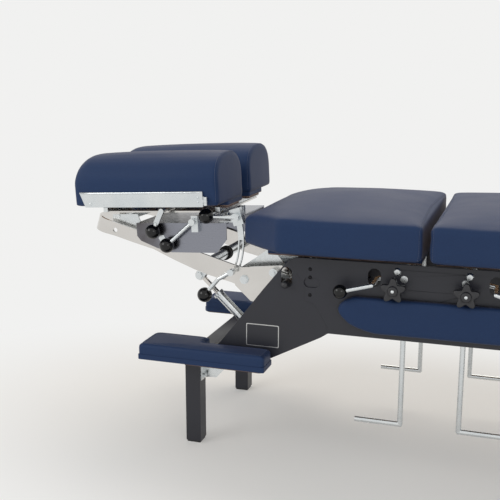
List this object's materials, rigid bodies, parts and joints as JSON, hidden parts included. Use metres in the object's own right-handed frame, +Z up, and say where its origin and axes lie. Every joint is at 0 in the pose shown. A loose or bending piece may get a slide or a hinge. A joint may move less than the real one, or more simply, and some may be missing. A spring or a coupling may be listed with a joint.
{
  "type": "chiropractic adjusting table",
  "caption": "Padded adjusting table on a black steel frame: body sections drop when cocked, and the split headpiece lifts, tilts, drops and widens.",
  "frame": {"origin": "on the floor, under the middle of the table's overall box", "axes": "+X towards the foot end, +Y to the far side, away from the levers, +Z up"},
  "size_m": [1.696, 0.558, 0.7246],
  "materials": {
    "vinyl": "satin navy upholstery vinyl",
    "frame_paint": "satin black paint",
    "polished_steel": "polished bright steel",
    "zinc": "bright zinc plate",
    "plywood": "bare light plywood",
    "black_plastic": "glossy black moulded plastic",
    "rubber_black": "matt black rubber"
  },
  "bodies": {
    "table": {"side_plate_near": "frame_paint", "side_plate_far": "frame_paint", "leg_plate_near": "frame_paint", "leg_plate_far": "frame_paint", "head_legs": "frame_paint", "foot_legs": "frame_paint", "cross_tubes": "frame_paint", "leg_glides": "rubber_black", "side_pads": "vinyl", "pivot_plates": "polished_steel", "pivot_bolts": "zinc", "head_channel": "zinc", "hinge_shafts": "zinc", "drop_stops": "zinc", "plate_screws": "black_plastic", "tension_blocks": "zinc", "foot_cushion": "vinyl", "foot_board": "plywood", "armrest_pads": "vinyl", "armrest_boards": "plywood", "armrest_brackets": "zinc"},
    "thoracic": {"thoracic_cushion": "vinyl", "thoracic_board": "plywood"},
    "lumbar": {"lumbar_cushion": "vinyl", "lumbar_board": "plywood"},
    "thoracic_cock": {"thoracic_cock_shaft": "zinc", "thoracic_ball": "black_plastic"},
    "lumbar_cock": {"lumbar_cock_shaft": "zinc", "lumbar_ball": "black_plastic"},
    "thoracic_star": {"thoracic_star_knob": "black_plastic"},
    "lumbar_star": {"lumbar_star_knob": "black_plastic"},
    "release": {"release_lever": "zinc", "release_grip": "black_plastic"},
    "arm": {"yoke": "polished_steel", "yoke_spreader": "zinc", "spreader_bumper": "rubber_black"},
    "tilt_lock": {"tilt_lock_lever": "zinc", "tilt_lock_ball": "black_plastic"},
    "strut_outer": {"strut_tube": "polished_steel"},
    "strut_inner": {"strut_rod": "polished_steel"},
    "carriage": {"tilt_carriage": "polished_steel", "clamp_block": "zinc", "tilt_strap": "zinc", "carriage_bolts": "zinc", "drop_bracket": "zinc"},
    "strap_lock": {"strap_lock_lever": "zinc", "strap_lock_ball": "black_plastic"},
    "drop_cock": {"drop_cock_lever": "zinc", "drop_cock_ball": "black_plastic"},
    "drop": {"drop_plate": "zinc", "cross_rails": "zinc"},
    "width_lock": {"width_lock_lever": "zinc", "width_lock_ball": "black_plastic"},
    "head_near": {"head_board_near": "plywood", "head_cushion_near": "vinyl", "clamp_hinge": "zinc"},
    "head_far": {"head_board_far": "plywood", "head_cushion_far": "vinyl"},
    "clamp": {"paper_clamp": "zinc"}
  },
  "joints": [
    {"name": "head_elevation", "type": "hinge", "parent": "table", "child": "arm", "pos_m": [-0.428, 0, 0.412], "axis": [0, 1, 0], "range_deg": [-18, 3]},
    {"name": "strut_swing", "type": "hinge", "parent": "table", "child": "strut_outer", "pos_m": [-0.415, -0.105, 0.268], "axis": [0, 1, 0], "range_deg": [-8, 1.5]},
    {"name": "strut_slide", "type": "slide", "parent": "strut_outer", "child": "strut_inner", "axis": [-0.7222, 0, 0.6917], "range_m": [-0.032, 0.006]},
    {"name": "tilt_lock_turn", "type": "hinge", "parent": "arm", "child": "tilt_lock", "pos_m": [-0.45524, 0, 0.43165], "axis": [0, 1, 0], "range_deg": [0, 30]},
    {"name": "head_tilt", "type": "hinge", "parent": "arm", "child": "carriage", "pos_m": [-0.64, 0, 0.5], "axis": [0, -1, 0], "range_deg": [-20, 2]},
    {"name": "strap_lock_turn", "type": "hinge", "parent": "carriage", "child": "strap_lock", "pos_m": [-0.45233, 0, 0.55989], "axis": [0, -1, 0], "range_deg": [0, 30]},
    {"name": "drop_cock_turn", "type": "hinge", "parent": "carriage", "child": "drop_cock", "pos_m": [-0.55237, 0, 0.54765], "axis": [0, -1, 0], "range_deg": [0, 40]},
    {"name": "head_drop", "type": "hinge", "parent": "carriage", "child": "drop", "pos_m": [-0.77044, 0, 0.54323], "axis": [0, 1, 0], "range_deg": [0, 2]},
    {"name": "width_lock_turn", "type": "hinge", "parent": "drop", "child": "width_lock", "pos_m": [-0.63263, 0, 0.56948], "axis": [0, 1, 0], "range_deg": [0, 35]},
    {"name": "near_half_slide", "type": "slide", "parent": "drop", "child": "head_near", "axis": [0, -1, 0], "range_m": [0, 0.02]},
    {"name": "far_half_slide", "type": "slide", "parent": "drop", "child": "head_far", "axis": [0, 1, 0], "range_m": [0, 0.02]},
    {"name": "paper_clamp_swing", "type": "hinge", "parent": "head_near", "child": "clamp", "pos_m": [-0.49938, -0.2171, 0.60651], "axis": [-0.0523, 0, 0.9986], "range_deg": [0, 90]},
    {"name": "thoracic_drop", "type": "hinge", "parent": "table", "child": "thoracic", "pos_m": [-0.29, 0, 0.466], "axis": [0, 1, 0], "range_deg": [0, 2.2]},
    {"name": "lumbar_drop", "type": "hinge", "parent": "table", "child": "lumbar", "pos_m": [0.302, 0, 0.466], "axis": [0, -1, 0], "range_deg": [0, 2.2]},
    {"name": "thoracic_cock_turn", "type": "hinge", "parent": "table", "child": "thoracic_cock", "pos_m": [-0.042, 0, 0.455], "axis": [0, 1, 0], "range_deg": [0, 13]},
    {"name": "lumbar_cock_turn", "type": "hinge", "parent": "table", "child": "lumbar_cock", "pos_m": [0.088, 0, 0.455], "axis": [0, -1, 0], "range_deg": [0, 13]},
    {"name": "thoracic_tension", "type": "hinge", "parent": "table", "child": "thoracic_star", "pos_m": [-0.061, -0.231, 0.436], "axis": [0, 1, 0], "continuous": true},
    {"name": "lumbar_tension", "type": "hinge", "parent": "table", "child": "lumbar_star", "pos_m": [0.092, -0.231, 0.436], "axis": [0, 1, 0], "continuous": true},
    {"name": "release_turn", "type": "hinge", "parent": "table", "child": "release", "pos_m": [-0.352, 0, 0.437], "axis": [0, -1, 0], "range_deg": [0, 20]}
  ],
  "couplings": [
    {"joint": "strut_swing", "follows": "head_elevation", "ratio": 0.439},
    {"joint": "strut_slide", "follows": "head_elevation", "m_per_rad": 0.0999}
  ]
}
